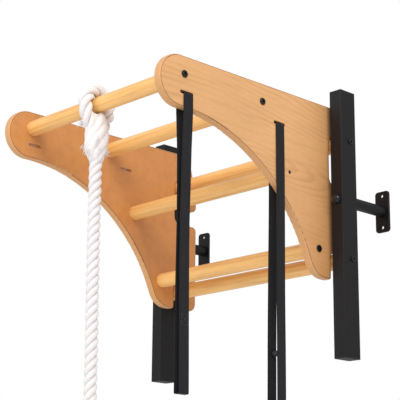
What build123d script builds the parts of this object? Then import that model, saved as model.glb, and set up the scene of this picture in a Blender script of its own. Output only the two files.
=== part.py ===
"""Wall-mounted pull-up station: a lift-off wooden bar unit on two steel posts, with a rope and two slings.

The origin is on the wall, midway between the two wall plates and level with the stand-off tubes.
+X points to the right along the bars, +Y into the wall, and +Z up. All lengths are in millimetres.
"""
from build123d import *
import math
import os

# Frame: two posts, two rungs and two stand-offs.
CLEAR_WIDTH = 600.0
POST_WIDTH = 36.0
POST_DEPTH = 54.0
POST_WALL = 2.0
POST_CORNER = 2.5
POST_TOP = 274.0
POST_BOTTOM = -381.0
POST_REAR_Y = -123.0
CAP_THICKNESS = 2.0
CAP_PLUG_DEPTH = 14.0
RUNG_Y = -144.0
UPPER_RUNG_Z = 147.0
LOWER_RUNG_Z = -144.0
TUBE_RADIUS = 14.0
PLATE_WIDTH = 42.0
PLATE_HEIGHT = 104.0
PLATE_THICKNESS = 5.0
PLATE_CORNER = 8.5
WALL_HOLE_RADIUS = 4.25
WALL_HOLE_SPACING = 80.0
DOME_RADIUS = 12.5
DOME_HEIGHT = 12.0
STANDOFF_BOLT_RADIUS = 4.9
STANDOFF_PLUG_LENGTH = 28.0

# Bars and rungs are the same round stock.
BAR_RADIUS = 19.0

# Bar unit: two side panels, each facing the inside of one post.
PANEL_THICKNESS = 21.0
PANEL_GAP = 14.0
PANEL_EDGE_ROUND = 4.0
NOSE_Y = -661.0
NOSE_RADIUS = 60.0
TOP_Z = 243.0
UNDERSIDE_Z = TOP_Z - 2 * NOSE_RADIUS
ARCH_RADIUS = 450.0
FOOT_Y = -185.0
FOOT_Z = -134.0
FOOT_RADIUS = 56.0
BOTTOM_Z = FOOT_Z - FOOT_RADIUS
REAR_Y = -84.0
REAR_TOP_Y = -112.0
REAR_TOP_CORNER = 24.0
SLANT_Z = 130.0
REAR_CORNER = 22.0
NOTCH_CORNER = 7.0
POCKET_DEPTH = 4.0

# Hook that drops over the upper rung, and notch that straddles the lower one.
RUNG_CLEARANCE = 0.6
LIFT = 80.0
LIFT_SPARE = 2.4
MOUTH_TOP_Z = 88.0
PRONG_FRONT_CORNER = 8.0
PRONG_REAR_CORNER = 14.0
SHOULDER_CORNER = 12.0
NOTCH_SPARE = 4.0

# Bars of the unit: name, Y and Z.
BARS = (
    ("front_bar", -649.0, 200.0),
    ("second_bar", -400.0, 198.0),
    ("third_bar", -308.0, 46.0),
    ("lower_bar", -208.0, -121.0),
)
SCREWED_BAR = "third_bar"

# Fasteners.
BOLT_HEAD_RADIUS = 8.5
BOLT_HEAD_HEIGHT = 3.5
BOLT_RADIUS = 3.9
BOLT_LENGTH = 42.0
RUNG_BOLT_HEAD_RADIUS = 7.0
RUNG_BOLT_LENGTH = 62.0
BOLT_HOLE_RADIUS = 4.0
SOCKET_ACROSS = 6.0
SOCKET_DEPTH = 2.4
INSERT_RADIUS = 6.0
INSERT_LENGTH = 30.0
SCREW_HEAD_RADIUS = 4.5
SCREW_HEAD_HEIGHT = 1.6
SCREW_RADIUS = 2.0
SCREW_LENGTH = 50.0
FIT = 0.05

# Slings through the slots of the right panel.
SLOT_LENGTH = 40.0
SLOT_HEIGHT = 8.0
FRONT_SLOT = (-641.5, 157.5)
REAR_SLOT = (-342.0, 158.0)
STRAP_WIDTH = 28.0
STRAP_THICKNESS = 1.8
STRAP_SIDE_GAP = 0.6
STRAP_TOP_ROUND = 1.5
FRONT_STRAP_Y = -637.7
REAR_STRAP_Y = -342.0
FRONT_STRAP_LEGS = ((116.0, 11.1), (30.0, 7.2), (-130.0, 4.2), (-420.0, 6.4), (-500.0, 6.8))
REAR_STRAP_LEGS = ((-20.0, 11.1), (-500.0, 14.6))
TIE_HALF = 13.4
TIE_TOP_Z = -374.0
TIE_BOTTOM_Z = -392.0

# Rope on the middle of the front bar.
ROPE_X = -17.0
ROPE_RADIUS = 15.5
EYE_ROPE_RADIUS = 17.0
EYE_CLEARANCE = 0.7
SPLICE_RADIUS = 27.0
SPLICE_TOP_Z = 168.0
SPLICE_SHOULDER_Z = 100.0
ROPE_TOP_Z = 60.0
ROPE_BOTTOM_Z = -1126.0
WHIPPING_LENGTH = 34.0

POST_CENTRE_X = (CLEAR_WIDTH + POST_WIDTH) / 2
POST_OUTER_X = CLEAR_WIDTH / 2 + POST_WIDTH
POST_CENTRE_Y = POST_REAR_Y - POST_DEPTH / 2
POST_FRONT_Y = POST_REAR_Y - POST_DEPTH
PANEL_OUTER_X = CLEAR_WIDTH / 2 - PANEL_GAP
PANEL_INNER_X = PANEL_OUTER_X - PANEL_THICKNESS
BAR_END_X = PANEL_INNER_X + POCKET_DEPTH
STRAP_X = (PANEL_OUTER_X + PANEL_INNER_X) / 2
CHANNEL_RADIUS = BAR_RADIUS + RUNG_CLEARANCE
ROPE_Y = BARS[0][1]
ROPE_Z = BARS[0][2]


def x_rod(radius, x0, x1, y, z):
    """Round rod along X between x0 and x1."""
    return Pos((x0 + x1) / 2, y, z) * Rot(0, 90, 0) * Cylinder(radius, abs(x1 - x0))


def y_rod(radius, y0, y1, x, z):
    """Round rod along Y between y0 and y1."""
    return Pos(x, (y0 + y1) / 2, z) * Rot(90, 0, 0) * Cylinder(radius, abs(y1 - y0))


def z_rod(radius, x, y, z0, z1):
    """Round rod along Z between z0 and z1."""
    return Pos(x, y, (z0 + z1) / 2) * Cylinder(radius, abs(z1 - z0))


def span_box(x0, x1, y0, y1, z0, z1):
    """Box between two opposite corners."""
    centre = Pos((x0 + x1) / 2, (y0 + y1) / 2, (z0 + z1) / 2)
    return centre * Box(abs(x1 - x0), abs(y1 - y0), abs(z1 - z0))


def mirrored(shape):
    """The same shape on the other side of the middle plane."""
    return mirror(shape, about=Plane.YZ)


def socket_bolt(head_radius, head_height, shank_radius, shank_length):
    """Low button-head bolt: head above Z = 0 with a hexagon socket, shank below."""
    head = Pos(0, 0, head_height / 2) * Cylinder(head_radius, head_height)
    head = fillet(head.edges().sort_by(Axis.Z)[-1], head_height * 0.55)
    hexagon = RegularPolygon(SOCKET_ACROSS / 2, 6, major_radius=False)
    socket = Pos(0, 0, head_height - SOCKET_DEPTH) * extrude(hexagon, SOCKET_DEPTH + 1)
    shank = Pos(0, 0, -shank_length / 2) * Cylinder(shank_radius, shank_length)
    return head + shank - socket


def on_right(bolt, x, y, z):
    """Place a bolt on a face that looks to +X."""
    return Pos(x, y, z) * Rot(0, 90, 0) * bolt


def both_sides(shapes):
    """The given right-hand solids and their left-hand twins."""
    return Compound(children=shapes + [mirrored(shape) for shape in shapes])


# ---- frame ----

def post_section(inset):
    """Cross-section of a post, shrunk by inset on every side."""
    corner = max(POST_CORNER - inset, 0.8)
    return RectangleRounded(POST_WIDTH - 2 * inset, POST_DEPTH - 2 * inset, corner)


def make_post():
    """Right-hand box-section post, with its bolt holes."""
    low = POST_BOTTOM + CAP_THICKNESS
    height = POST_TOP - POST_BOTTOM - 2 * CAP_THICKNESS
    ring = post_section(0) - post_section(POST_WALL)
    post = Pos(POST_CENTRE_X, POST_CENTRE_Y, low) * extrude(ring, height)
    for rung_z in (UPPER_RUNG_Z, LOWER_RUNG_Z):
        post -= x_rod(BOLT_HOLE_RADIUS, CLEAR_WIDTH / 2 - 5, POST_OUTER_X + 5, RUNG_Y, rung_z)
    post -= y_rod(STANDOFF_BOLT_RADIUS + FIT, POST_FRONT_Y - 5, POST_REAR_Y + 5, POST_CENTRE_X, 0)
    return post


def make_top_cap():
    """Right-hand plastic cap that closes the top of a post."""
    plate = extrude(post_section(0), CAP_THICKNESS)
    plate = fillet(plate.faces().sort_by(Axis.Z)[-1].edges(), 0.9)
    plug = Pos(0, 0, -CAP_PLUG_DEPTH) * extrude(post_section(POST_WALL + FIT), CAP_PLUG_DEPTH)
    return Pos(POST_CENTRE_X, POST_CENTRE_Y, POST_TOP - CAP_THICKNESS) * (plate + plug)


def make_bottom_cap():
    """The same cap upside down at the foot of a post."""
    level = POST_TOP + POST_BOTTOM
    return Pos(0, 0, level) * mirror(make_top_cap(), about=Plane.XY)


def make_rung(z):
    """Round rung between the posts, bored for an insert at each end."""
    rung = x_rod(BAR_RADIUS, -CLEAR_WIDTH / 2, CLEAR_WIDTH / 2, RUNG_Y, z)
    bore = x_rod(INSERT_RADIUS + FIT, CLEAR_WIDTH / 2 - INSERT_LENGTH, CLEAR_WIDTH / 2 + 1, RUNG_Y, z)
    return rung - bore - mirrored(bore)


def make_insert(end_x, y, z):
    """Threaded sleeve in the right-hand end of a bar or rung."""
    start_x = end_x - INSERT_LENGTH
    sleeve = x_rod(INSERT_RADIUS, start_x, end_x, y, z)
    return sleeve - x_rod(BOLT_RADIUS + FIT, start_x - 1, end_x + 1, y, z)


def make_rung_bolts():
    """Bolts through the posts into the ends of the rungs."""
    bolt = socket_bolt(RUNG_BOLT_HEAD_RADIUS, BOLT_HEAD_HEIGHT, BOLT_RADIUS, RUNG_BOLT_LENGTH)
    return both_sides([on_right(bolt, POST_OUTER_X, RUNG_Y, z) for z in (UPPER_RUNG_Z, LOWER_RUNG_Z)])


def make_rung_inserts():
    """Threaded sleeves in the ends of the rungs."""
    levels = (UPPER_RUNG_Z, LOWER_RUNG_Z)
    return both_sides([make_insert(CLEAR_WIDTH / 2, RUNG_Y, z) for z in levels])


def make_standoff_tube():
    """Right-hand tube that holds a post off the wall."""
    outer = y_rod(TUBE_RADIUS, POST_REAR_Y, -PLATE_THICKNESS, POST_CENTRE_X, 0)
    return outer - y_rod(TUBE_RADIUS - POST_WALL, POST_REAR_Y - 1, 0, POST_CENTRE_X, 0)


def make_wall_plate():
    """Right-hand plate on the wall with its two screw holes."""
    outline = RectangleRounded(PLATE_WIDTH, PLATE_HEIGHT, PLATE_CORNER)
    plate = extrude(Plane.XZ * outline, PLATE_THICKNESS)
    for z in (-WALL_HOLE_SPACING / 2, WALL_HOLE_SPACING / 2):
        plate -= y_rod(WALL_HOLE_RADIUS, -PLATE_THICKNESS - 1, 1, 0, z)
    front_rim = plate.faces().sort_by(Axis.Y)[0].outer_wire().edges()
    return Pos(POST_CENTRE_X, 0, 0) * chamfer(front_rim, 0.8)


def make_standoff_bolts():
    """Domed bolts through the posts into the stand-off tubes."""
    ball_radius = (DOME_RADIUS ** 2 + DOME_HEIGHT ** 2) / (2 * DOME_HEIGHT)
    ball = Pos(0, 0, DOME_HEIGHT - ball_radius) * Sphere(ball_radius)
    dome = ball & Pos(0, 0, DOME_HEIGHT / 2) * Cylinder(2 * DOME_RADIUS, DOME_HEIGHT)
    length = POST_DEPTH + STANDOFF_PLUG_LENGTH - 4
    bolt = dome + Pos(0, 0, -length / 2) * Cylinder(STANDOFF_BOLT_RADIUS, length)
    return both_sides([Pos(POST_CENTRE_X, POST_FRONT_Y, 0) * Rot(90, 0, 0) * bolt])


def make_standoff_plugs():
    """Threaded plugs in the front ends of the stand-off tubes."""
    end_y = POST_REAR_Y + STANDOFF_PLUG_LENGTH
    plug = y_rod(TUBE_RADIUS - POST_WALL - FIT, POST_REAR_Y, end_y, POST_CENTRE_X, 0)
    bore = y_rod(STANDOFF_BOLT_RADIUS + FIT, POST_REAR_Y - 1, end_y + 1, POST_CENTRE_X, 0)
    return both_sides([plug - bore])


# ---- bar unit ----

def panel_outline():
    """Side view of a panel: round nose, flat top, arched underside and round foot."""
    arch_z = UNDERSIDE_Z - ARCH_RADIUS
    rise = FOOT_Z - arch_z
    reach = math.sqrt((ARCH_RADIUS + FOOT_RADIUS) ** 2 - rise ** 2)
    arch_y = FOOT_Y - reach
    turn = math.degrees(math.atan2(rise, reach))
    nose_z = TOP_Z - NOSE_RADIUS
    edges = [
        Line((NOSE_Y, TOP_Z), (REAR_TOP_Y, TOP_Z)),
        Line((REAR_TOP_Y, TOP_Z), (REAR_Y, SLANT_Z)),
        Line((REAR_Y, SLANT_Z), (REAR_Y, BOTTOM_Z)),
        Line((REAR_Y, BOTTOM_Z), (FOOT_Y, BOTTOM_Z)),
        CenterArc((FOOT_Y, FOOT_Z), FOOT_RADIUS, 270, turn - 90),
        CenterArc((arch_y, arch_z), ARCH_RADIUS, turn, 90 - turn),
        Line((arch_y, UNDERSIDE_Z), (NOSE_Y, UNDERSIDE_Z)),
        CenterArc((NOSE_Y, nose_z), NOSE_RADIUS, 270, -180),
    ]
    return make_face(Curve() + edges)


def upright_slot(radius, low_z, high_z):
    """Round-ended upright slot at the rungs, through the thickness of a panel."""
    x0 = PANEL_INNER_X - 1
    x1 = PANEL_OUTER_X + 1
    slot = span_box(x0, x1, RUNG_Y - radius, RUNG_Y + radius, low_z, high_z)
    slot += x_rod(radius, x0, x1, RUNG_Y, high_z)
    slot += x_rod(radius, x0, x1, RUNG_Y, low_z)
    return slot


def hook_cut():
    """Channel that lets the unit drop onto the upper rung, with its mouth at the rear."""
    low_z = UPPER_RUNG_Z - LIFT - LIFT_SPARE
    x0 = PANEL_INNER_X - 1
    x1 = PANEL_OUTER_X + 1
    mouth = span_box(x0, x1, RUNG_Y, REAR_Y + 5, low_z - CHANNEL_RADIUS, MOUTH_TOP_Z)
    return upright_slot(CHANNEL_RADIUS, low_z, UPPER_RUNG_Z) + mouth


def rounded_corner(panel, y, z, radius):
    """Round the panel edge that runs along X nearest to (y, z)."""
    edge = panel.edges().filter_by(Axis.X).sort_by_distance((STRAP_X, y, z))[0]
    return fillet(edge, radius)


def strap_slot(centre):
    """Round-ended slot that a sling goes through."""
    y, z = centre
    outline = SlotOverall(SLOT_LENGTH, SLOT_HEIGHT)
    place = Pos(PANEL_INNER_X - 1, y, z)
    return place * extrude(Plane.YZ * outline, PANEL_THICKNESS + 2)


def make_panel():
    """Right-hand side panel."""
    notch_z = LOWER_RUNG_Z + NOTCH_SPARE
    panel = Pos(PANEL_INNER_X, 0, 0) * extrude(Plane.YZ * panel_outline(), PANEL_THICKNESS)
    panel -= hook_cut()
    panel -= upright_slot(CHANNEL_RADIUS, BOTTOM_Z - 2 * CHANNEL_RADIUS, notch_z)
    channel_rear = RUNG_Y + CHANNEL_RADIUS
    low_mouth = UPPER_RUNG_Z - LIFT - LIFT_SPARE - CHANNEL_RADIUS
    corners = (
        (REAR_TOP_Y, TOP_Z, REAR_TOP_CORNER),
        (REAR_Y, SLANT_Z, REAR_TOP_CORNER),
        (channel_rear, MOUTH_TOP_Z, PRONG_FRONT_CORNER),
        (REAR_Y, MOUTH_TOP_Z, PRONG_REAR_CORNER),
        (REAR_Y, low_mouth, SHOULDER_CORNER),
        (REAR_Y, BOTTOM_Z, REAR_CORNER),
        (channel_rear, BOTTOM_Z, NOTCH_CORNER),
        (RUNG_Y - CHANNEL_RADIUS, BOTTOM_Z, NOTCH_CORNER),
    )
    for y, z, radius in corners:
        panel = rounded_corner(panel, y, z, radius)
    sides = panel.faces().filter_by(Axis.X)
    panel = fillet(sides.edges(), PANEL_EDGE_ROUND)
    panel -= strap_slot(FRONT_SLOT)
    panel -= strap_slot(REAR_SLOT)
    for name, y, z in BARS:
        hole = SCREW_RADIUS + FIT if name == SCREWED_BAR else BOLT_HOLE_RADIUS
        panel -= x_rod(hole, PANEL_INNER_X - 1, PANEL_OUTER_X + 1, y, z)
        panel -= x_rod(BAR_RADIUS + FIT, PANEL_INNER_X - 1, BAR_END_X, y, z)
    return panel


def make_bar(name, y, z):
    """Round bar between the panels, bored at both ends for its fastener."""
    bar = x_rod(BAR_RADIUS, -BAR_END_X, BAR_END_X, y, z)
    bore = x_rod(INSERT_RADIUS + FIT, BAR_END_X - INSERT_LENGTH, BAR_END_X + 1, y, z)
    if name == SCREWED_BAR:
        bore = x_rod(SCREW_RADIUS + FIT, PANEL_OUTER_X - SCREW_LENGTH, BAR_END_X + 1, y, z)
    return bar - bore - mirrored(bore)


def make_bar_bolts():
    """Bolts through the panels into the bolted bars."""
    bolt = socket_bolt(BOLT_HEAD_RADIUS, BOLT_HEAD_HEIGHT, BOLT_RADIUS, BOLT_LENGTH)
    bolted = [(y, z) for name, y, z in BARS if name != SCREWED_BAR]
    return both_sides([on_right(bolt, PANEL_OUTER_X, y, z) for y, z in bolted])


def make_bar_inserts():
    """Threaded sleeves in the ends of the bolted bars."""
    bolted = [(y, z) for name, y, z in BARS if name != SCREWED_BAR]
    return both_sides([make_insert(BAR_END_X, y, z) for y, z in bolted])


def make_bar_screws():
    """Small screws that hold the remaining bar."""
    head = Cone(SCREW_HEAD_RADIUS, SCREW_HEAD_RADIUS * 0.6, SCREW_HEAD_HEIGHT)
    head = Pos(0, 0, SCREW_HEAD_HEIGHT / 2) * head
    screw = head + Pos(0, 0, -SCREW_LENGTH / 2) * Cylinder(SCREW_RADIUS, SCREW_LENGTH)
    place = [(y, z) for name, y, z in BARS if name == SCREWED_BAR]
    return both_sides([on_right(screw, PANEL_OUTER_X, y, z) for y, z in place])


# ---- rope ----

def eye_ring():
    """Ring of rope round the front bar."""
    ring_radius = BAR_RADIUS + EYE_CLEARANCE + EYE_ROPE_RADIUS
    return Pos(ROPE_X, ROPE_Y, ROPE_Z) * Rot(0, 90, 0) * Torus(ring_radius, EYE_ROPE_RADIUS)


def make_rope_splice():
    """Thick throat under the eye that tapers down to the single rope."""
    shoulder = SPLICE_SHOULDER_Z - ROPE_TOP_Z
    taper = Pos(ROPE_X, ROPE_Y, ROPE_TOP_Z + shoulder / 2) * Cone(ROPE_RADIUS, SPLICE_RADIUS, shoulder)
    throat = taper + z_rod(SPLICE_RADIUS, ROPE_X, ROPE_Y, SPLICE_SHOULDER_Z, SPLICE_TOP_Z)
    throat -= eye_ring()
    bar_room = BAR_RADIUS + EYE_CLEARANCE + EYE_ROPE_RADIUS
    throat -= x_rod(bar_room, ROPE_X - 60, ROPE_X + 60, ROPE_Y, ROPE_Z)
    return throat.solids().sort_by(SortBy.VOLUME)[-1]


def make_rope_line():
    """Single rope hanging straight below the splice."""
    return z_rod(ROPE_RADIUS, ROPE_X, ROPE_Y, ROPE_BOTTOM_Z + WHIPPING_LENGTH, ROPE_TOP_Z)


def make_rope_whipping():
    """Bound end of the rope."""
    end = z_rod(ROPE_RADIUS + 0.6, ROPE_X, ROPE_Y, ROPE_BOTTOM_Z, ROPE_BOTTOM_Z + WHIPPING_LENGTH)
    return fillet(end.edges().sort_by(Axis.Z)[0], 4)


# ---- slings ----

def make_strap(slot_z, centre_y, legs):
    """Closed band of webbing through a slot. Each leg point is its height and half the gap there."""
    top_half = PANEL_THICKNESS / 2 + STRAP_SIDE_GAP
    inner_top = slot_z - STRAP_THICKNESS / 2
    loops = []
    for grow in (STRAP_THICKNESS, 0.0):
        side = [(top_half + grow, inner_top + grow)]
        side += [(half + grow, z) for z, half in legs[:-1]]
        side.append((legs[-1][1] + grow, legs[-1][0] + STRAP_THICKNESS - grow))
        points = side + [(-x, z) for x, z in reversed(side)]
        loop = make_face(Polyline(points, close=True))
        loops.append(fillet(loop.vertices().sort_by(Axis.Y)[-2:], STRAP_TOP_ROUND + grow))
    y = centre_y + STRAP_WIDTH / 2
    return Pos(STRAP_X, y, 0) * extrude(Plane.XZ * (loops[0] - loops[1]), STRAP_WIDTH)


def make_strap_tie():
    """Sewn tie that holds the two legs of the rear sling together."""
    half = STRAP_WIDTH / 5
    x0 = STRAP_X - TIE_HALF
    x1 = STRAP_X + TIE_HALF
    return span_box(x0, x1, REAR_STRAP_Y - half, REAR_STRAP_Y + half, TIE_BOTTOM_Z, TIE_TOP_Z)


NODES = {
    "right_post": make_post(),
    "left_post": mirrored(make_post()),
    "right_top_cap": make_top_cap(),
    "left_top_cap": mirrored(make_top_cap()),
    "right_bottom_cap": make_bottom_cap(),
    "left_bottom_cap": mirrored(make_bottom_cap()),
    "upper_rung": make_rung(UPPER_RUNG_Z),
    "lower_rung": make_rung(LOWER_RUNG_Z),
    "rung_bolts": make_rung_bolts(),
    "rung_inserts": make_rung_inserts(),
    "right_standoff_tube": make_standoff_tube(),
    "left_standoff_tube": mirrored(make_standoff_tube()),
    "right_wall_plate": make_wall_plate(),
    "left_wall_plate": mirrored(make_wall_plate()),
    "standoff_bolts": make_standoff_bolts(),
    "standoff_plugs": make_standoff_plugs(),
    "right_side_panel": make_panel(),
    "left_side_panel": mirrored(make_panel()),
    "bar_bolts": make_bar_bolts(),
    "bar_inserts": make_bar_inserts(),
    "bar_screws": make_bar_screws(),
    "rope_eye": eye_ring(),
    "rope_splice": make_rope_splice(),
    "rope_line": make_rope_line(),
    "rope_whipping": make_rope_whipping(),
    "front_strap": make_strap(FRONT_SLOT[1], FRONT_STRAP_Y, FRONT_STRAP_LEGS),
    "rear_strap": make_strap(REAR_SLOT[1], REAR_STRAP_Y, REAR_STRAP_LEGS),
    "rear_strap_stitching": make_strap_tie(),
}
for bar_name, bar_y, bar_z in BARS:
    NODES[bar_name] = make_bar(bar_name, bar_y, bar_z)

os.makedirs("parts", exist_ok=True)
for node, shape in NODES.items():
    export_step(shape, f"parts/{node}.step")
    solids = shape.solids()
    volume = sum(solid.volume for solid in solids) / 1000
    print(f"{node}: {len(solids)} solids, {volume:.1f} cm3")
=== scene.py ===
"""Pull-up station: finishes for the wooden bar unit and its steel frame, with a laid rope and webbing slings."""

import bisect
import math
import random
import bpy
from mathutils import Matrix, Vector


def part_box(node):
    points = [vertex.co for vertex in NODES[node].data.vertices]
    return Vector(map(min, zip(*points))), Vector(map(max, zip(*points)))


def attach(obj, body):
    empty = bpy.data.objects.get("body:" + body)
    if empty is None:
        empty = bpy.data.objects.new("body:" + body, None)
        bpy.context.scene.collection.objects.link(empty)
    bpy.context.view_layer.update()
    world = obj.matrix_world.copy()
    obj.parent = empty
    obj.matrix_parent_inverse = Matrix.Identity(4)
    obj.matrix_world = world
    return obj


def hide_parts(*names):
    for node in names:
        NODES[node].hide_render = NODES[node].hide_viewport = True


bl_info = {
    "name": "Pull-Up Station",
    "version": (1, 0, 0),
    "blender": (4, 5, 0),
    "location": "View3D > Sidebar > Pull-Up Station",
    "description": "Dresses a wall-mounted pull-up station with wood, steel, rope and webbing",
    "category": "Add Mesh",
}

import bmesh
import bpy
from bpy.props import FloatProperty, FloatVectorProperty, IntProperty, PointerProperty
from mathutils import Euler, Matrix, Vector

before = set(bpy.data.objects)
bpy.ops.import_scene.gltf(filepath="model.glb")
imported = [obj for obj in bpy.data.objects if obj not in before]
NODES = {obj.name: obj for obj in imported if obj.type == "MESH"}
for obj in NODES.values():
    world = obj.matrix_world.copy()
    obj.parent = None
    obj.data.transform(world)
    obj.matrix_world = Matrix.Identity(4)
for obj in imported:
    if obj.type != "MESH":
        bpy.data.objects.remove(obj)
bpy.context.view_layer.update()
MILLIMETRE = 0.001


def middle(node):
    """Middle of a CAD node's box."""
    low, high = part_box(node)
    return (low + high) / 2


def extent(node):
    """Size of a CAD node's box."""
    low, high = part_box(node)
    return high - low


BAR = middle("front_bar")
BAR_RADIUS = extent("front_bar").z / 2
ROPE = middle("rope_line")
ROPE_RADIUS = extent("rope_line").x / 2
ROPE_END_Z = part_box("rope_whipping")[0].z
ROPE_SEAM_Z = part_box("rope_line")[1].z
SPLICE_RADIUS = extent("rope_splice").x / 2
EYE_RADIUS = extent("rope_eye").x / 2
PANEL_LOW, PANEL_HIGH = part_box("right_side_panel")


# ---------------------------------------------------------------- settings


class StageSettings(bpy.types.PropertyGroup):
    """Camera, light and floor."""

    camera_place: FloatVectorProperty(
        name="Camera place",
        description="Where the camera stands, in front of the station and below it",
        default=(2.251, -2.480, -0.8081),
        subtype="TRANSLATION",
        unit="LENGTH",
    )
    camera_turn: FloatProperty(
        name="Camera turn",
        description="How far the camera turns left of straight at the wall",
        default=math.radians(46.24),
        unit="ROTATION",
    )
    camera_tilt: FloatProperty(
        name="Camera tilt",
        description="How far the camera looks up",
        default=math.radians(15.03),
        unit="ROTATION",
    )
    camera_roll: FloatProperty(
        name="Camera roll",
        description="How far the camera leans about its own line of sight",
        default=math.radians(0.5),
        unit="ROTATION",
    )
    lens: FloatProperty(
        name="Lens",
        description="Focal length in millimetres on a 36 mm wide sensor",
        default=116.8,
    )
    floor_z: FloatProperty(
        name="Floor height",
        description="Height of the floor below the stand-off tubes",
        default=-2.0,
        unit="LENGTH",
    )
    floor_colour: FloatVectorProperty(
        name="Floor colour",
        description="Colour of the plain pale floor",
        default=(0.92, 0.92, 0.91),
        subtype="COLOR",
        min=0,
        max=1,
    )
    key_power: FloatProperty(
        name="Key light",
        description="Power of the soft light on the right, in watts",
        default=98.0,
        min=0,
    )
    sky: FloatProperty(
        name="Surrounding light",
        description="Strength of the white surroundings as they light the station",
        default=0.62,
        min=0,
    )


class RopeSettings(bpy.types.PropertyGroup):
    """Sizes and colours of the rope."""

    lay: FloatProperty(
        name="Lay length",
        description="Length of rope in which a strand goes round once",
        default=0.062,
        unit="LENGTH",
    )
    eye_lay: FloatProperty(
        name="Eye lay length",
        description="The same in the eye, where the rope is opened a little",
        default=0.085,
        unit="LENGTH",
    )
    splice_lay: FloatProperty(
        name="Splice lay length",
        description="The same in the splice, where the strands run nearly straight",
        default=0.21,
        unit="LENGTH",
    )
    splice_length: FloatProperty(
        name="Splice length",
        description="Length of the thick part under the eye",
        default=0.112,
        unit="LENGTH",
    )
    core_top: FloatProperty(
        name="Core length in the splice",
        description="How far the rope runs on up inside the splice",
        default=0.088,
        unit="LENGTH",
    )
    fibres: IntProperty(
        name="Loose fibres",
        description="Number of loose fibres in a tuft",
        default=46,
        min=0,
    )
    cotton: FloatVectorProperty(
        name="Cotton",
        description="Colour of the rope",
        default=(0.92, 0.885, 0.895),
        subtype="COLOR",
        min=0,
        max=1,
    )
    thread: FloatVectorProperty(
        name="Whipping thread",
        description="Colour of the thread that binds the rope's end",
        default=(0.62, 0.58, 0.50),
        subtype="COLOR",
        min=0,
        max=1,
    )


class SlingSettings(bpy.types.PropertyGroup):
    """Sizes and colours of the webbing slings."""

    thickness: FloatProperty(
        name="Webbing thickness",
        description="Thickness of the webbing",
        default=0.0017,
        unit="LENGTH",
    )
    drift: FloatProperty(
        name="Drift",
        description="How far the rear sling hangs off plumb at its end",
        default=0.005,
        unit="LENGTH",
    )
    webbing: FloatVectorProperty(
        name="Webbing",
        description="Colour of the slings",
        default=(0.0075, 0.0066, 0.0086),
        subtype="COLOR",
        min=0,
        max=1,
    )
    stitch: FloatVectorProperty(
        name="Stitching",
        description="Colour of the sewing thread",
        default=(0.05, 0.048, 0.052),
        subtype="COLOR",
        min=0,
        max=1,
    )


class FinishSettings(bpy.types.PropertyGroup):
    """Colours of the hard pieces."""

    veneer: FloatVectorProperty(
        name="Panel veneer",
        description="Main colour of the panels' faces",
        default=(0.80, 0.435, 0.185),
        subtype="COLOR",
        min=0,
        max=1,
    )
    # Painted shade: the panels' inner faces take this darker colour for the shade they lie in between the
    # panels.
    veneer_inside_shaded: FloatVectorProperty(
        name="Inner veneer",
        description="Main colour of the panels' inner faces",
        default=(0.69, 0.295, 0.088),
        subtype="COLOR",
        min=0,
        max=1,
    )
    veneer_line: FloatVectorProperty(
        name="Veneer figure",
        description="Colour of the dark lines in the panels' figure",
        default=(0.55, 0.25, 0.085),
        subtype="COLOR",
        min=0,
        max=1,
    )
    ply_light: FloatVectorProperty(
        name="Light ply",
        description="Colour of the light plies on the panels' edges",
        default=(0.84, 0.45, 0.19),
        subtype="COLOR",
        min=0,
        max=1,
    )
    ply_dark: FloatVectorProperty(
        name="Dark ply",
        description="Colour of the end-grain plies on the panels' edges",
        default=(0.40, 0.165, 0.055),
        subtype="COLOR",
        min=0,
        max=1,
    )
    bar: FloatVectorProperty(
        name="Bars",
        description="Main colour of the round bars",
        default=(1.0, 0.58, 0.20),
        subtype="COLOR",
        min=0,
        max=1,
    )
    bar_streak: FloatVectorProperty(
        name="Bar streaks",
        description="Colour of the darker streaks along the bars",
        default=(0.80, 0.39, 0.115),
        subtype="COLOR",
        min=0,
        max=1,
    )
    powder: FloatVectorProperty(
        name="Powder coat",
        description="Colour of the steel frame",
        default=(0.0068, 0.0058, 0.0072),
        subtype="COLOR",
        min=0,
        max=1,
    )


# ---------------------------------------------------------------- materials


class Value:
    """A socket's value in a material, which Python's operators turn into Math nodes."""

    def __init__(self, finish, socket):
        self.finish = finish
        self.socket = socket

    def math(self, operation, *others):
        inputs = dict(enumerate((self, *others)))
        return self.finish.node("ShaderNodeMath", {"operation": operation}, inputs)

    def __add__(self, other):
        return self.math("ADD", other)

    def __sub__(self, other):
        return self.math("SUBTRACT", other)

    def __rsub__(self, other):
        return self.finish.node("ShaderNodeMath", {"operation": "SUBTRACT"}, {0: other, 1: self})

    def __mul__(self, other):
        return self.math("MULTIPLY", other)

    def __truediv__(self, other):
        return self.math("DIVIDE", other)

    def __pow__(self, other):
        return self.math("POWER", other)

    def __abs__(self):
        return self.math("ABSOLUTE")

    __radd__ = __add__
    __rmul__ = __mul__


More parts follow.
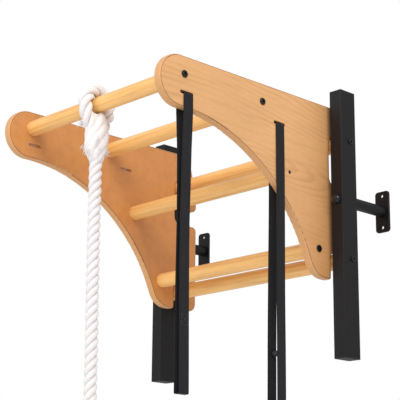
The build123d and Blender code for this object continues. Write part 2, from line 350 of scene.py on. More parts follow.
class Finish:
    """A material and the nodes that make it."""

    def __init__(self, name):
        self.material = bpy.data.materials.new(name)
        self.material.use_nodes = True
        self.tree = self.material.node_tree
        self.tree.nodes.clear()

    def node(self, kind, settings=None, inputs=None, output=0):
        """A new node, with its settings and then its inputs, as the value of one of its outputs."""
        made = self.tree.nodes.new(kind)
        for key, value in (settings or {}).items():
            if key == "stops":
                ramp = made.color_ramp
                while len(ramp.elements) < len(value):
                    ramp.elements.new(0.5)
                for element, (position, colour) in zip(ramp.elements, value):
                    element.position = position
                    element.color = (*colour, 1.0)
            else:
                setattr(made, key, value)
        for key, value in (inputs or {}).items():
            if isinstance(value, Value):
                self.tree.links.new(value.socket, made.inputs[key])
            else:
                made.inputs[key].default_value = value
        return Value(self, made.outputs[output]) if made.outputs else None

    def place(self):
        """Object coordinates."""
        return self.node("ShaderNodeTexCoord", output=3)

    def stored(self, name):
        """A vector stored on the piece's points."""
        settings = {"attribute_type": "GEOMETRY", "attribute_name": name}
        return self.node("ShaderNodeAttribute", settings, output=1)

    def parts(self, vector):
        """The three numbers of a vector."""
        first = self.node("ShaderNodeSeparateXYZ", inputs={0: vector})
        return [Value(self, socket) for socket in first.socket.node.outputs]

    def joined(self, x, y, z):
        """A vector from three numbers."""
        return self.node("ShaderNodeCombineXYZ", inputs={0: x, 1: y, 2: z})

    def stretched(self, vector, scale):
        """A vector with each of its numbers scaled."""
        return self.node("ShaderNodeVectorMath", {"operation": "MULTIPLY"}, {0: vector, 1: scale})

    def noise(self, vector, scale=1.0, detail=3.0, roughness=0.5, distortion=0.0):
        """Soft noise from 0 to 1."""
        inputs = {"Scale": scale, "Detail": detail, "Roughness": roughness, "Distortion": distortion}
        return self.node("ShaderNodeTexNoise", {}, {"Vector": vector, **inputs})

    def steps(self, value, low, high):
        """0 below low, 1 above high, and smooth between."""
        inputs = {"Value": value, "From Min": low, "From Max": high}
        return self.node("ShaderNodeMapRange", {"interpolation_type": "SMOOTHSTEP"}, inputs)

    def mixed(self, factor, first, second, mode="MIX"):
        """Two colours mixed."""
        first = first if isinstance(first, Value) else (*first, 1.0)
        second = second if isinstance(second, Value) else (*second, 1.0)
        settings = {"data_type": "RGBA", "blend_type": mode}
        return self.node("ShaderNodeMix", settings, {0: factor, 6: first, 7: second}, output=2)

    def grey(self, value):
        """A colour with the same value in every channel."""
        return self.node("ShaderNodeCombineColor", {}, {0: value, 1: value, 2: value})

    def bump(self, height, distance, strength=1.0, over=None):
        """A normal from a height."""
        inputs = {"Strength": strength, "Distance": distance, "Height": height}
        if over is not None:
            inputs["Normal"] = over
        return self.node("ShaderNodeBump", {}, inputs)

    def surface(self, **inputs):
        """The shader that ends the material. Names are the sockets' own with _ for a space."""
        named = {key.replace("_", " "): value for key, value in inputs.items()}
        for key in ("Base Color", "Sheen Tint"):
            if key in named and not isinstance(named[key], Value):
                named[key] = (*named[key], 1.0)
        shader = self.node("ShaderNodeBsdfPrincipled", {}, named)
        self.node("ShaderNodeOutputMaterial", {}, {"Surface": shader})
        return self.material


def panel_veneer(colours):
    """Clear-lacquered plywood: figured face veneer, and plies on the rounded edges."""
    finish = Finish("panel_veneer")
    place = finish.place()
    x, y, z = finish.parts(place)
    side = x * 3.1
    flat = finish.joined(side, y, z)
    drift = finish.noise(finish.stretched(flat, (1.0, 2.2, 4.0)), 1.0, 2.0) - 0.5
    wobble = finish.noise(finish.stretched(flat, (1.0, 7.0, 30.0)), 1.0, 2.0) - 0.5
    along = y + 0.40
    across = z + y * 0.12 - 0.03 + drift * 0.075 + wobble * 0.006
    rings = (across * across + along * along * 0.035) ** 0.5
    ring = (rings / 0.0115).math("FRACT")
    late = finish.steps(ring, 0.30, 0.90) * (1 - finish.steps(ring, 0.92, 1.0))
    fade = finish.steps(finish.noise(finish.stretched(flat, (1.0, 3.2, 14.0)), 1.0, 2.0), 0.40, 0.66)
    bands = finish.noise(finish.stretched(flat, (1.0, 5.0, 95.0)), 1.0, 3.0, 0.55)
    pores = finish.noise(finish.stretched(flat, (1.0, 40.0, 900.0)), 1.0, 3.0, 0.6)
    fleck = finish.noise(finish.stretched(flat, (1.0, 240.0, 1900.0)), 1.0, 2.0, 0.6)
    cloud = finish.noise(flat, 7.0, 3.0)
    normal = finish.node("ShaderNodeNewGeometry", output=1)
    facing = finish.parts(normal)[0]
    inside = finish.steps(x * facing, 0.01, -0.01)
    # Painted shade: the faces turn darker and redder towards the rear and the bottom, for the shade near the
    # post.
    painted_rear_shade = finish.steps(y - z * 0.5, -0.42, 0.02)
    tone = finish.mixed(painted_rear_shade * 0.62, colours.veneer, (0.66, 0.295, 0.105))
    # Painted shade: the inner faces and the figure lines on them are darker copies of the outer colours, for the
    # shade between the panels.
    tone = finish.mixed(inside, tone, colours.veneer_inside_shaded)
    dark = finish.mixed(inside, colours.veneer_line, (0.48, 0.19, 0.055))
    outside = 1 - inside
    upright = finish.noise(finish.stretched(flat, (1.0, 260.0, 6.0)), 1.0, 3.0, 0.6)
    mottle = finish.noise(flat, 38.0, 5.0, 0.65)
    face = finish.mixed(late * (fade * 0.32 + 0.04) * outside, tone, dark)
    face = finish.mixed(finish.steps(bands, 0.45, 0.75) * 0.22 * outside, face, dark)
    face = finish.mixed(finish.steps(pores, 0.46, 0.76) * 0.32 * outside, face, dark)
    face = finish.mixed(finish.steps(upright, 0.48, 0.75) * 0.20 * inside, face, dark)
    face = finish.mixed(finish.steps(mottle, 0.42, 0.70) * 0.30 * inside, face, dark)
    face = finish.mixed(0.5, face, finish.grey(cloud * 0.5 + 0.74), "MULTIPLY")
    turned = abs(facing)
    edge = 1 - finish.steps(turned, 0.80, 0.93)
    seam = finish.steps(turned, 0.78, 0.88) * (1 - finish.steps(turned, 0.965, 0.999))
    grit = finish.noise(finish.stretched(place, (160.0, 500.0, 500.0)), 1.0, 3.0, 0.6)
    ply = ((abs(x) / 0.00140) + grit * 0.10).math("FRACT")
    stripe = finish.steps(ply, 0.40, 0.60) * 0.42 + finish.steps(grit, 0.45, 0.8) * 0.24
    rim = finish.mixed(stripe, colours.ply_light, colours.ply_dark)
    wood = finish.mixed(edge, face, rim)
    wood = finish.mixed(seam * 0.85, wood, (0.28, 0.105, 0.036))
    height = pores * 0.5 + fleck * 0.35 + edge * stripe * 0.6
    return finish.surface(
        Base_Color=wood,
        Roughness=0.34 + pores * 0.16 + edge * 0.10,
        Specular_IOR_Level=0.38,
        Coat_Weight=0.22,
        Coat_Roughness=0.20,
        Normal=finish.bump(height, 0.00022, 0.55),
    )


def turned_wood(colours):
    """Clear-lacquered turned hardwood, with its grain along X."""
    finish = Finish("turned_wood")
    place = finish.place()
    bow = finish.noise(finish.stretched(place, (2.2, 14.0, 14.0)), 1.0, 2.0) - 0.5
    x, y, z = finish.parts(place)
    grain = finish.joined(x, y + bow * 0.011, z + bow * 0.007)
    streaks = finish.noise(finish.stretched(grain, (3.5, 150.0, 150.0)), 1.0, 4.0, 0.62)
    rays = finish.noise(finish.stretched(grain, (30.0, 620.0, 620.0)), 1.0, 3.0, 0.6)
    cloud = finish.noise(finish.stretched(place, (5.0, 24.0, 24.0)), 1.0, 2.0)
    wood = finish.mixed(finish.steps(streaks, 0.44, 0.68) * 0.78, colours.bar, colours.bar_streak)
    wood = finish.mixed(finish.steps(rays, 0.50, 0.72) * 0.40, wood, colours.bar_streak)
    wood = finish.mixed(0.6, wood, finish.grey(cloud * 0.55 + 0.71), "MULTIPLY")
    return finish.surface(
        Base_Color=wood,
        Roughness=0.32 + rays * 0.14,
        Specular_IOR_Level=0.4,
        Coat_Weight=0.25,
        Coat_Roughness=0.18,
        Normal=finish.bump(streaks * 0.6 + rays * 0.4, 0.00018, 0.5),
    )


def powder_coat(colours):
    """Fine satin black powder coat on steel."""
    finish = Finish("powder_coat")
    place = finish.place()
    peel = finish.noise(place, 900.0, 2.0, 0.5)
    wear = finish.noise(place, 24.0, 4.0, 0.6)
    shade = finish.mixed(finish.steps(wear, 0.5, 0.8) * 0.3, colours.powder, (0.012, 0.011, 0.0125))
    return finish.surface(
        Base_Color=shade,
        Roughness=0.42 + wear * 0.12,
        Specular_IOR_Level=0.28,
        Normal=finish.bump(peel, 0.00012, 0.45),
    )


def cap_plastic():
    """Matt black moulded plastic."""
    finish = Finish("cap_plastic")
    grain = finish.noise(finish.place(), 1500.0, 2.0, 0.6)
    return finish.surface(
        Base_Color=finish.mixed(grain * 0.3, (0.011, 0.011, 0.012), (0.022, 0.022, 0.023)),
        Roughness=0.52 + grain * 0.12,
        Specular_IOR_Level=0.35,
        Normal=finish.bump(grain, 0.00008, 0.4),
    )


def black_oxide():
    """Semi-gloss black steel of the bolts."""
    finish = Finish("black_oxide")
    scuff = finish.noise(finish.place(), 420.0, 3.0, 0.6)
    return finish.surface(
        Base_Color=finish.mixed(finish.steps(scuff, 0.55, 0.8) * 0.5, (0.010, 0.010, 0.011), (0.05, 0.05, 0.05)),
        Metallic=0.3,
        Roughness=0.16 + scuff * 0.12,
        Normal=finish.bump(scuff, 0.00005, 0.3),
    )


def zinc_plate():
    """Bright zinc on the threaded sleeves."""
    finish = Finish("zinc_plate")
    spangle = finish.noise(finish.place(), 600.0, 3.0, 0.5)
    return finish.surface(
        Base_Color=finish.mixed(spangle, (0.52, 0.53, 0.55), (0.72, 0.72, 0.70)),
        Metallic=1.0,
        Roughness=0.28 + spangle * 0.18,
    )


def cotton(colours):
    """Soft laid cotton. The yarns follow the rope's own coordinates, stored before it was bent."""
    finish = Finish("cotton")
    laid = finish.stored("laid")
    yarns = finish.noise(finish.stretched(laid, (620.0, 620.0, 95.0)), 1.0, 3.0, 0.6)
    lint = finish.noise(finish.stretched(laid, (1700.0, 1700.0, 1100.0)), 1.0, 2.0, 0.6)
    tint = finish.noise(finish.stretched(laid, (60.0, 60.0, 22.0)), 1.0, 3.0)
    x, y, z = finish.parts(laid)
    # Painted shade: the strands darken towards the rope's core, in the grooves between them.
    depth = finish.steps((x * x + y * y) ** 0.5, 0.35 * ROPE_RADIUS, 0.92 * ROPE_RADIUS)
    fibre = finish.mixed(tint * 0.5, colours.cotton, (0.92, 0.87, 0.845))
    fibre = finish.mixed((1 - depth) * 0.6, fibre, (0.62, 0.53, 0.49))
    fibre = finish.mixed(finish.steps(yarns, 0.45, 0.25) * 0.28, fibre, (0.72, 0.66, 0.63))
    return finish.surface(
        Base_Color=fibre,
        Roughness=0.86 + lint * 0.1,
        Specular_IOR_Level=0.15,
        Sheen_Weight=0.35,
        Sheen_Roughness=0.5,
        Normal=finish.bump(yarns * 0.75 + lint * 0.25, 0.0012, 0.8),
    )


def whipping_thread(colours):
    """Waxed thread round the end of the rope."""
    finish = Finish("whipping_thread")
    twist = finish.noise(finish.place(), 2600.0, 2.0, 0.5)
    return finish.surface(
        Base_Color=finish.mixed(twist * 0.6, colours.thread, (0.36, 0.32, 0.26)),
        Roughness=0.6 + twist * 0.15,
        Sheen_Weight=0.2,
        Normal=finish.bump(twist, 0.0003, 0.6),
    )


def webbing(colours, thickness):
    """Charcoal twill webbing: diagonal ribs with a painted highlight along them, and firm selvedges."""
    finish = Finish("webbing")
    place = finish.place()
    across = finish.stored("across")
    u, v, side = finish.parts(across)
    x, y, z = finish.parts(place)
    rib = ((u + v) / 0.0024).math("FRACT")
    rib = abs(rib - 0.5) * 2.0
    pick = abs(((v) / 0.0011).math("FRACT") - 0.5) * 2.0
    dust = finish.noise(finish.stretched(across, (220.0, 26.0, 1.0)), 1.0, 3.0, 0.6)
    # Painted highlight: the twill ribs are drawn lighter than the webbing's own colour.
    shade = finish.mixed(finish.steps(rib, 0.35, 0.95) * 0.55, colours.webbing, (0.020, 0.018, 0.0225))
    shade = finish.mixed(finish.steps(dust, 0.5, 0.8) * 0.5, shade, (0.028, 0.026, 0.031))
    selvedge = finish.steps(abs(u), 0.0118, 0.0126)
    shade = finish.mixed(selvedge * 0.6, shade, (0.005, 0.0045, 0.0055))
    return finish.surface(
        Base_Color=shade,
        Roughness=0.72 + rib * 0.12,
        Specular_IOR_Level=0.3,
        Sheen_Weight=0.05,
        Sheen_Roughness=0.5,
        Normal=finish.bump(rib * 0.7 + pick * 0.3, 0.25 * thickness, 0.6),
    )


def stitch_thread(colours):
    """Sewing thread of the slings."""
    finish = Finish("stitch_thread")
    twist = finish.noise(finish.place(), 3000.0, 2.0, 0.5)
    return finish.surface(
        Base_Color=finish.mixed(twist * 0.5, colours.stitch, (0.09, 0.087, 0.093)),
        Roughness=0.55 + twist * 0.2,
        Normal=finish.bump(twist, 0.0002, 0.5),
    )


def pale_floor(colours):
    """Plain pale studio floor."""
    finish = Finish("pale_floor")
    speck = finish.noise(finish.place(), 3.0, 4.0)
    tone = tuple(0.96 * channel for channel in colours.floor_colour)
    return finish.surface(
        Base_Color=finish.mixed(speck * 0.4, colours.floor_colour, tone),
        Roughness=0.7 + speck * 0.1,
        Specular_IOR_Level=0.2,
    )


# ---------------------------------------------------------------- building


def piece_from(bm, name, material, smooth=True):
    """A bmesh as a finished object at the origin."""
    mesh = bpy.data.meshes.new(name)
    bm.to_mesh(mesh)
    bm.free()
    for polygon in mesh.polygons:
        polygon.use_smooth = smooth
    mesh.materials.append(material)
    piece = bpy.data.objects.new(name, mesh)
    bpy.context.scene.collection.objects.link(piece)
    return piece


def route(points):
    """Points along the smooth spline that a list of control points makes."""
    curve = bpy.data.curves.new("route", "CURVE")
    curve.dimensions = "3D"
    curve.resolution_u = 20
    spline = curve.splines.new("NURBS")
    spline.points.add(len(points) - 1)
    for point, place in zip(spline.points, points):
        point.co = (*place, 1.0)
    spline.order_u = 3
    spline.use_endpoint_u = True
    holder = bpy.data.objects.new("route", curve)
    mesh = bpy.data.meshes.new_from_object(holder)
    line = [vertex.co.copy() for vertex in mesh.vertices]
    bpy.data.meshes.remove(mesh)
    bpy.data.objects.remove(holder)
    bpy.data.curves.remove(curve)
    return line


def travelled(line):
    """Distance along a line at each of its points."""
    reached = [0.0]
    for a, b in zip(line, line[1:]):
        reached.append(reached[-1] + (b - a).length)
    return reached


def bend_onto(bm, line):
    """Bends a straight upright piece, which starts at Z = 0, onto a line that lies across X."""
    reached = travelled(line)
    for vertex in bm.verts:
        along = min(max(vertex.co.z, 0.0), reached[-1])
        i = min(max(bisect.bisect_right(reached, along) - 1, 0), len(line) - 2)
        share = (along - reached[i]) / max(reached[i + 1] - reached[i], 1e-9)
        centre = line[i].lerp(line[i + 1], share)
        before = line[i + 1] - line[max(i - 1, 0)]
        after = line[min(i + 2, len(line) - 1)] - line[i]
        tangent = before.normalized().lerp(after.normalized(), share).normalized()
        side = (Vector((1, 0, 0)) - tangent * tangent.x).normalized()
        vertex.co = centre + side * vertex.co.x + tangent.cross(side) * vertex.co.y


def laid_strands(bm, length, strands, strand_radius, offset, lay, sides=12):
    """Straight strands twisted round the Z axis, right-handed, from Z = 0 up."""
    turns = length / lay
    steps = max(8, math.ceil(turns * 24))
    for k in range(strands):
        turn = Matrix.Rotation(2 * math.pi * k / strands, 4, "Z")
        lean = math.atan2(2 * math.pi * offset, lay)
        place = turn @ Matrix.Translation((offset, 0, 0)) @ Matrix.Rotation(-lean, 4, "X")
        ring = bmesh.ops.create_circle(bm, segments=sides, radius=strand_radius, matrix=place)["verts"]
        edges = list({edge for vertex in ring for edge in vertex.link_edges})
        start = bmesh.ops.contextual_create(bm, geom=edges)["faces"]
        swept = bmesh.ops.spin(
            bm,
            geom=ring + edges,
            cent=(0, 0, 0),
            axis=(0, 0, 1),
            dvec=(0, 0, length / steps),
            angle=2 * math.pi * turns,
            steps=steps,
        )
        last = [item for item in swept["geom_last"] if isinstance(item, bmesh.types.BMEdge)]
        bmesh.ops.contextual_create(bm, geom=last)
    bmesh.ops.recalc_face_normals(bm, faces=bm.faces[:])


def remember_laid(bm, twist_off=0.0):
    """Stores the straight rope's coordinates on its points, for the yarns in its material."""
    layer = bm.verts.layers.float_vector.new("laid")
    for vertex in bm.verts:
        vertex[layer] = vertex.co


def add_tuft(bm, layer, place, aim, count, length, spread, dice):
    """Loose fibres that stand out from one place."""
    for _ in range(count):
        lean = Vector([dice.gauss(0, spread) for _ in range(3)])
        direction = (Vector(aim) + lean).normalized()
        reach = length * dice.uniform(0.45, 1.0)
        start = Vector(place) + Vector([dice.gauss(0, 0.0035) for _ in range(3)])
        turn = direction.to_track_quat("Z", "Y").to_matrix().to_4x4()
        matrix = Matrix.Translation(start + direction * reach / 2) @ turn
        thick = 0.55 * MILLIMETRE
        cone = bmesh.ops.create_cone(
            bm, cap_ends=True, segments=4, radius1=thick, radius2=thick / 3, depth=reach, matrix=matrix
        )
        for vertex in cone["verts"]:
            vertex[layer] = vertex.co


def webbing_band(name, outline, corner, width, centre, thickness, material, drift=0.0):
    """A closed band of webbing: an outline in X and Z with rounded corners, as wide as the webbing."""
    bm = bmesh.new()
    points = [bm.verts.new((centre.x + x, centre.y - width / 2, z)) for x, z in outline]
    for a, b in zip(points, points[1:] + points[:1]):
        bm.edges.new((a, b))
    bmesh.ops.bevel(
        bm, geom=points, offset=corner, segments=6, profile=0.5, affect="VERTICES", material=-1
    )
    long_edges = [edge for edge in bm.edges if edge.calc_length() > 0.08]
    bmesh.ops.subdivide_edges(bm, edges=long_edges, cuts=14)
    columns = 8
    band = bm.edges[:]
    for _ in range(columns):
        grown = bmesh.ops.extrude_edge_only(bm, edges=band)["geom"]
        moved = [item for item in grown if isinstance(item, bmesh.types.BMVert)]
        bmesh.ops.translate(bm, verts=moved, vec=(0, width / columns, 0))
        band = [item for item in grown if isinstance(item, bmesh.types.BMEdge) and is_lengthwise(item)]
    bmesh.ops.recalc_face_normals(bm, faces=bm.faces[:])
    layer = bm.verts.layers.float_vector.new("across")
    top = max(vertex.co.z for vertex in bm.verts)
    low = min(vertex.co.z for vertex in bm.verts)
    for vertex in bm.verts:
        vertex[layer] = (vertex.co.y - centre.y, top - vertex.co.z, vertex.co.x)
    for vertex in bm.verts:
        hung = (top - vertex.co.z) / (top - low)
        sway = math.sin(hung * math.pi * 2.3) * 0.0009
        vertex.co.y -= drift * hung * hung
        vertex.co.x += sway * (1 - hung * 0.3)
    band_piece = piece_from(bm, name, material)
    shell = band_piece.modifiers.new("cloth", "SOLIDIFY")
    shell.thickness = thickness
    shell.offset = 0.0
    rounding = band_piece.modifiers.new("edge", "BEVEL")
    rounding.width = thickness * 0.3
    rounding.segments = 2
    rounding.limit_method = "ANGLE"
    return band_piece


def is_lengthwise(edge):
    """True for an edge that runs along the band and not across it."""
    a, b = edge.verts
    return abs(a.co.y - b.co.y) < 1e-7


def paint(material, *nodes):
    """Gives CAD nodes a finish."""
    for name in nodes:
        slots = NODES[name].data.materials
        slots.clear()
        slots.append(material)


# ---------------------------------------------------------------- operators


class PULLUP_OT_stage(bpy.types.Operator):
    """Set up the camera, the soft light and the pale floor"""

    bl_idname = "pullup.stage"
    bl_label = "Stage"

    def execute(self, context):
        settings = context.scene.pullup_stage
        camera = bpy.data.objects.new("camera", bpy.data.cameras.new("camera"))
        context.scene.collection.objects.link(camera)
        camera.data.lens = settings.lens
        camera.data.sensor_width = 36.0
        camera.location = settings.camera_place
        look = Euler((math.pi / 2 + settings.camera_tilt, 0, settings.camera_turn)).to_matrix()
        camera.rotation_euler = (look @ Matrix.Rotation(settings.camera_roll, 3, "Z")).to_euler()
        context.scene.camera = camera
        bm = bmesh.new()
        bmesh.ops.create_grid(bm, x_segments=8, y_segments=8, size=25.0)
        bmesh.ops.translate(bm, verts=bm.verts[:], vec=(0, 0, settings.floor_z))
        floor = piece_from(bm, "floor", pale_floor(settings), smooth=False)
        lamps = (
            ("key", (3.4, -2.2, 2.4), 2.6, settings.key_power),
            ("front", (-0.6, -4.2, 1.2), 3.0, settings.key_power * 0.5),
        )
        aim = Vector((0, -0.35, 0))
        for name, place, size, power in lamps:
            lamp = bpy.data.lights.new(name, "AREA")
            lamp.shape = "DISK"
            lamp.size = size
            lamp.energy = power
            holder = bpy.data.objects.new(name, lamp)
            context.scene.collection.objects.link(holder)
            holder.location = place
            holder.rotation_euler = (aim - Vector(place)).to_track_quat("-Z", "Y").to_euler()
        self.surroundings(context, settings.sky)
        context.scene.view_settings.view_transform = "Standard"
        return {"FINISHED"}

    def surroundings(self, context, strength):
        """White surroundings that light the object a little less than they show."""
        world = bpy.data.worlds.new("studio")
        world.use_nodes = True
        nodes = world.node_tree.nodes
        links = world.node_tree.links
        nodes.clear()
        seen = nodes.new("ShaderNodeBackground")
        lit = nodes.new("ShaderNodeBackground")
        seen.inputs["Strength"].default_value = 1.0
        seen.inputs["Color"].default_value = (1, 1, 1, 1)
        lit.inputs["Strength"].default_value = strength
        lit.inputs["Color"].default_value = (1, 1, 1, 1)
        rays = nodes.new("ShaderNodeLightPath")
        either = nodes.new("ShaderNodeMixShader")
        out = nodes.new("ShaderNodeOutputWorld")
        links.new(rays.outputs["Is Camera Ray"], either.inputs[0])
        links.new(lit.outputs[0], either.inputs[1])
        links.new(seen.outputs[0], either.inputs[2])
        links.new(either.outputs[0], out.inputs["Surface"])
        context.scene.world = world


class PULLUP_OT_rope(bpy.types.Operator):
    """Lay the rope: its eye, splice, hanging length and bound end"""

    bl_idname = "pullup.rope"
    bl_label = "Rope"

    def execute(self, context):
        settings = context.scene.pullup_rope
        fibre = cotton(settings)
        eye = self.eye(settings, fibre)
        splice = self.splice(settings, fibre)
        whipping = self.whipping(settings)
        line, path = self.line(settings, fibre)
        pieces = (
            (eye, "rope_eye", "rope_cotton"),
            (splice, "rope_splice", "rope_cotton"),
            (line, "rope_line", "rope_cotton"),
            (whipping, "rope_whipping", "whipping_thread"),
        )
        for piece, node, slot in pieces:
            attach(piece, "rope")
            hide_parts(node)
        return {"FINISHED"}

    def line(self, settings, fibre):
        """The single rope, from inside the splice down to its bound end."""
        top = ROPE_SEAM_Z + settings.core_top
        points = (
            (ROPE.x + 0.002, ROPE.y, top),
            (ROPE.x + 0.003, ROPE.y, 0.02),
            (ROPE.x + 0.005, ROPE.y - 0.001, -0.18),
            (ROPE.x + 0.008, ROPE.y + 0.001, -0.42),
            (ROPE.x + 0.006, ROPE.y, -0.70),
            (ROPE.x + 0.002, ROPE.y - 0.001, -0.95),
            (ROPE.x, ROPE.y, ROPE_END_Z + 0.004),
        )
        path = route(points)
        bm = bmesh.new()
        radius = 0.464 * ROPE_RADIUS
        laid_strands(bm, travelled(path)[-1], 3, radius, ROPE_RADIUS - radius, settings.lay)
        remember_laid(bm)
        bend_onto(bm, path)
        layer = bm.verts.layers.float_vector["laid"]
        dice = random.Random(5)
        for k in range(3):
            turn = 2 * math.pi * k / 3
            start = path[-1] + Vector((0.007 * math.cos(turn), 0.007 * math.sin(turn), 0.001))
            add_tuft(bm, layer, start, (0, 0, -1), settings.fibres, 0.011, 0.22, dice)
        return piece_from(bm, "rope_strands", fibre), [tuple(point) for point in path]

    def eye(self, settings, fibre):
        """The eye: the rope opened a little and led over the bar, down into the splice."""
        ring = BAR_RADIUS + 0.0007 + EYE_RADIUS
        wide = ring * math.tan(math.pi / 8)
        near = ROPE.x + 0.003
        far = ROPE.x - 0.002
        points = (
            (ROPE.x + 0.003, BAR.y - 0.005, BAR.z - 0.100),
            (ROPE.x + 0.003, BAR.y - 0.008, BAR.z - 0.070),
            (near, BAR.y - 0.022, BAR.z - 0.047),
            (near, BAR.y - ring, BAR.z - wide),
            (near, BAR.y - ring, BAR.z + wide),
            (near, BAR.y - wide, BAR.z + ring),
            (far, BAR.y + wide, BAR.z + ring),
            (far, BAR.y + ring, BAR.z + wide),
            (far, BAR.y + ring, BAR.z - wide),
            (far, BAR.y + 0.022, BAR.z - 0.047),
            (ROPE.x + 0.003, BAR.y + 0.008, BAR.z - 0.070),
            (ROPE.x + 0.003, BAR.y + 0.005, BAR.z - 0.100),
        )
        path = route(points)
        bm = bmesh.new()
        radius = 0.464 * EYE_RADIUS
        laid_strands(bm, travelled(path)[-1], 3, radius, EYE_RADIUS - radius, settings.eye_lay)
        remember_laid(bm)
        bend_onto(bm, path)
        return piece_from(bm, "rope_eye_strands", fibre)

    def splice(self, settings, fibre):
        """The throat: tucked strands side by side, thinning down to the rope, with loose ends."""
        bm = bmesh.new()
        length = settings.splice_length
        offset = 0.66 * SPLICE_RADIUS
        laid_strands(bm, length, 6, 0.42 * SPLICE_RADIUS, offset, settings.splice_lay)
        remember_laid(bm)
        top = ROPE_SEAM_Z + length
        for vertex in bm.verts:
            down = 1 - vertex.co.z / length
            pull = 1 - 0.46 * max(0.0, (down - 0.60) / 0.40) ** 1.4 - 0.22 * (max(0.0, 0.34 - down) / 0.34)
            uneven = 1 + 0.035 * math.sin(5.0 * math.atan2(vertex.co.y, vertex.co.x) + 9 * down)
            vertex.co.x *= pull * uneven
            vertex.co.y *= pull * uneven
        low = top - length
        bmesh.ops.translate(bm, verts=bm.verts[:], vec=(ROPE.x + 0.003, ROPE.y, low))
        layer = bm.verts.layers.float_vector["laid"]
        dice = random.Random(11)
        tufts = (
            ((0.021, -0.014, 0.050), (0.5, -0.2, -0.8)),
            ((0.019, -0.006, 0.034), (0.4, -0.1, -0.9)),
            ((0.004, -0.020, 0.026), (0.1, -0.5, -1.0)),
            ((-0.016, -0.016, 0.040), (-0.3, -0.2, -0.9)),
            ((0.012, 0.018, 0.030), (0.4, 0.5, -0.9)),
            ((-0.010, 0.018, 0.042), (-0.3, 0.5, -0.9)),
            ((-0.017, -0.021, 0.094), (-0.9, -0.5, 0.25)),
        )
        for place, aim in tufts:
            start = Vector(place) + Vector((ROPE.x, ROPE.y, low))
            add_tuft(bm, layer, start, aim, settings.fibres, 0.017, 0.28, dice)
        return piece_from(bm, "rope_splice_strands", fibre)

    def whipping(self, settings):
        """Thread wound tightly round the end of the rope."""
        low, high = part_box("rope_whipping")
        bm = bmesh.new()
        thread = 0.0009
        place = Matrix.Translation((ROPE_RADIUS - 0.0002, 0, 0)) @ Matrix.Rotation(math.pi / 2, 4, "X")
        ring = bmesh.ops.create_circle(bm, segments=6, radius=thread, matrix=place)["verts"]
        edges = list({edge for vertex in ring for edge in vertex.link_edges})
        bmesh.ops.contextual_create(bm, geom=edges)
        turns = 14
        swept = bmesh.ops.spin(
            bm,
            geom=ring + edges,
            cent=(0, 0, 0),
            axis=(0, 0, 1),
            dvec=(0, 0, 2 * thread / 30),
            angle=2 * math.pi * turns,
            steps=turns * 30,
        )
        last = [item for item in swept["geom_last"] if isinstance(item, bmesh.types.BMEdge)]
        bmesh.ops.contextual_create(bm, geom=last)
        bmesh.ops.recalc_face_normals(bm, faces=bm.faces[:])
        bmesh.ops.translate(bm, verts=bm.verts[:], vec=(ROPE.x, ROPE.y, low.z + 0.008))
        return piece_from(bm, "rope_whipping_turns", whipping_thread(settings))


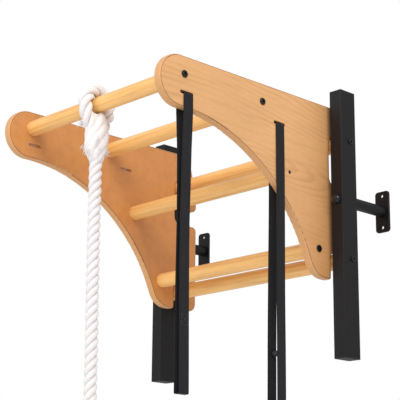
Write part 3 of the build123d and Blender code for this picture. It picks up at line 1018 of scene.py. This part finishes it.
class PULLUP_OT_slings(bpy.types.Operator):
    """Hang the two webbing slings through the slots of the right panel"""

    bl_idname = "pullup.slings"
    bl_label = "Slings"

    def execute(self, context):
        settings = context.scene.pullup_slings
        cloth = webbing(settings, settings.thickness)
        thread = stitch_thread(settings)
        front = self.front(settings, cloth)
        rear = self.rear(settings, cloth)
        front_sewing = self.sewing("front_sling_stitching", "front_strap", 0.0080, -0.356, -0.334, thread)
        rear_sewing = self.tie(thread)
        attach(front, "front_sling")
        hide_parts("front_strap")
        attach(front_sewing, "front_sling")
        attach(rear, "rear_sling")
        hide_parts("rear_strap")
        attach(rear_sewing, "rear_sling")
        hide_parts("rear_strap_stitching")
        return {"FINISHED"}

    def front(self, settings, cloth):
        """Sling whose legs draw together under the panel."""
        low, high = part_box("front_strap")
        half = (high.x - low.x - settings.thickness) / 2
        inset = settings.thickness / 2
        legs = ((half, 0.118), (0.0080, 0.030), (0.0050, -0.130), (0.0072, -0.420), (0.0076, low.z + inset))
        outline = [(-x, z) for x, z in reversed(legs)]
        outline += [(-half, high.z - inset), (half, high.z - inset)]
        outline += legs
        centre = middle("front_strap")
        return webbing_band(
            "front_sling_band", outline, 0.0028, high.y - low.y, centre, settings.thickness, cloth
        )

    def rear(self, settings, cloth):
        """Sling whose legs stand apart down to the tie that holds them."""
        low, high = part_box("rear_strap")
        half = 0.0120
        inset = settings.thickness / 2
        legs = ((half, -0.020), (0.0134, -0.250), (0.0145, -0.368), (0.0148, low.z + inset))
        outline = [(-x, z) for x, z in reversed(legs)]
        outline += [(-half, high.z - inset), (half, high.z - inset)]
        outline += legs
        centre = middle("rear_strap")
        width = high.y - low.y
        return webbing_band(
            "rear_sling_band", outline, 0.0028, width, centre, settings.thickness, cloth, settings.drift
        )

    def sewing(self, name, strap, face, low_z, high_z, thread):
        """A stitched box with a cross in it, on the outer face of a sling."""
        centre = middle(strap)
        half = 0.0095
        corners = [Vector((0, -half, low_z)), Vector((0, half, low_z)), Vector((0, half, high_z)),
                   Vector((0, -half, high_z))]
        runs = list(zip(corners, corners[1:] + corners[:1]))
        runs += [(corners[0], corners[2]), (corners[1], corners[3])]
        bm = bmesh.new()
        pitch = 0.0034
        for a, b in runs:
            count = max(2, round((b - a).length / pitch))
            direction = (b - a).normalized()
            turn = direction.to_track_quat("Z", "X").to_matrix().to_4x4()
            for i in range(count):
                spot = a.lerp(b, (i + 0.5) / count) + Vector((centre.x + face, centre.y, 0))
                matrix = Matrix.Translation(spot) @ turn
                bmesh.ops.create_uvsphere(
                    bm, u_segments=6, v_segments=5, radius=1.0,
                    matrix=matrix @ Matrix.Diagonal((0.00045, 0.00045, pitch * 0.44, 1)),
                )
        return piece_from(bm, name, thread)


    def tie(self, thread):
        """Wound thread that holds the rear sling's legs together, and a sewn line across its outer leg."""
        low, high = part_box("rear_strap_stitching")
        centre = (low + high) / 2
        bm = bmesh.new()
        radius = 0.0011
        turns = 7
        place = Matrix.Translation((0, 0.0055, 0)) @ Matrix.Rotation(math.pi / 2, 4, "Y")
        ring = bmesh.ops.create_circle(bm, segments=6, radius=radius, matrix=place)["verts"]
        edges = list({edge for vertex in ring for edge in vertex.link_edges})
        bmesh.ops.contextual_create(bm, geom=edges)
        swept = bmesh.ops.spin(
            bm,
            geom=ring + edges,
            cent=(0, 0, 0),
            axis=(1, 0, 0),
            dvec=((high.x - low.x - 0.004) / (turns * 24), 0, 0),
            angle=2 * math.pi * turns,
            steps=turns * 24,
        )
        last = [item for item in swept["geom_last"] if isinstance(item, bmesh.types.BMEdge)]
        bmesh.ops.contextual_create(bm, geom=last)
        core = Matrix.Translation(((high.x - low.x) / 2 - 0.002, 0, 0)) @ Matrix.Rotation(math.pi / 2, 4, "Y")
        bmesh.ops.create_cone(
            bm, cap_ends=True, segments=16, radius1=0.0055, radius2=0.0055,
            depth=high.x - low.x - 0.002, matrix=core,
        )
        bmesh.ops.translate(bm, verts=bm.verts[:], vec=(low.x + 0.002, centre.y, centre.z))
        strap = middle("rear_strap")
        for i in range(9):
            across = -0.0112 + 0.0028 * i
            spot = Matrix.Translation((strap.x + 0.0151, strap.y - 0.0035 + across, -0.331))
            bmesh.ops.create_uvsphere(
                bm, u_segments=6, v_segments=5, radius=1.0,
                matrix=spot @ Matrix.Diagonal((0.0005, 0.0012, 0.0005, 1)),
            )
        bmesh.ops.recalc_face_normals(bm, faces=bm.faces[:])
        return piece_from(bm, "rear_sling_tie", thread)


class PULLUP_OT_wood(bpy.types.Operator):
    """Finish the side panels, bars and rungs"""

    bl_idname = "pullup.wood"
    bl_label = "Wood"

    def execute(self, context):
        colours = context.scene.pullup_finish
        paint(panel_veneer(colours), "right_side_panel", "left_side_panel")
        bars = ("front_bar", "second_bar", "third_bar", "lower_bar", "upper_rung", "lower_rung")
        paint(turned_wood(colours), *bars)
        return {"FINISHED"}


class PULLUP_OT_metal(bpy.types.Operator):
    """Finish the steel frame, its caps and the fasteners"""

    bl_idname = "pullup.metal"
    bl_label = "Metal"

    def execute(self, context):
        colours = context.scene.pullup_finish
        steel = ["right_post", "left_post", "right_standoff_tube", "left_standoff_tube"]
        steel += ["right_wall_plate", "left_wall_plate"]
        paint(powder_coat(colours), *steel)
        caps = ("right_top_cap", "left_top_cap", "right_bottom_cap", "left_bottom_cap")
        paint(cap_plastic(), *caps)
        paint(black_oxide(), "rung_bolts", "bar_bolts", "standoff_bolts", "bar_screws")
        paint(zinc_plate(), "rung_inserts", "bar_inserts", "standoff_plugs")
        return {"FINISHED"}


class PULLUP_PT_panel(bpy.types.Panel):
    """Buttons and settings of the pull-up station"""

    bl_idname = "PULLUP_PT_panel"
    bl_label = "Pull-Up Station"
    bl_space_type = "VIEW_3D"
    bl_region_type = "UI"
    bl_category = "Pull-Up Station"

    def draw(self, context):
        scene = context.scene
        for settings in (scene.pullup_stage, scene.pullup_rope, scene.pullup_slings, scene.pullup_finish):
            box = self.layout.box()
            for name in settings.__annotations__:
                box.prop(settings, name)
        for operator in OPERATORS:
            self.layout.operator(operator.bl_idname)


SETTINGS = {
    "pullup_stage": StageSettings,
    "pullup_rope": RopeSettings,
    "pullup_slings": SlingSettings,
    "pullup_finish": FinishSettings,
}
OPERATORS = (PULLUP_OT_stage, PULLUP_OT_rope, PULLUP_OT_slings, PULLUP_OT_wood, PULLUP_OT_metal)


def register():
    for name, group in SETTINGS.items():
        bpy.utils.register_class(group)
        setattr(bpy.types.Scene, name, PointerProperty(type=group))
    for shown in (*OPERATORS, PULLUP_PT_panel):
        bpy.utils.register_class(shown)


def unregister():
    for shown in (PULLUP_PT_panel, *reversed(OPERATORS)):
        bpy.utils.unregister_class(shown)
    for name, group in SETTINGS.items():
        delattr(bpy.types.Scene, name)
        bpy.utils.unregister_class(group)


def main():
    register()
    bpy.ops.pullup.stage()
    bpy.ops.pullup.rope()
    bpy.ops.pullup.slings()
    bpy.ops.pullup.wood()
    bpy.ops.pullup.metal()


if __name__ == "__main__":
    main()
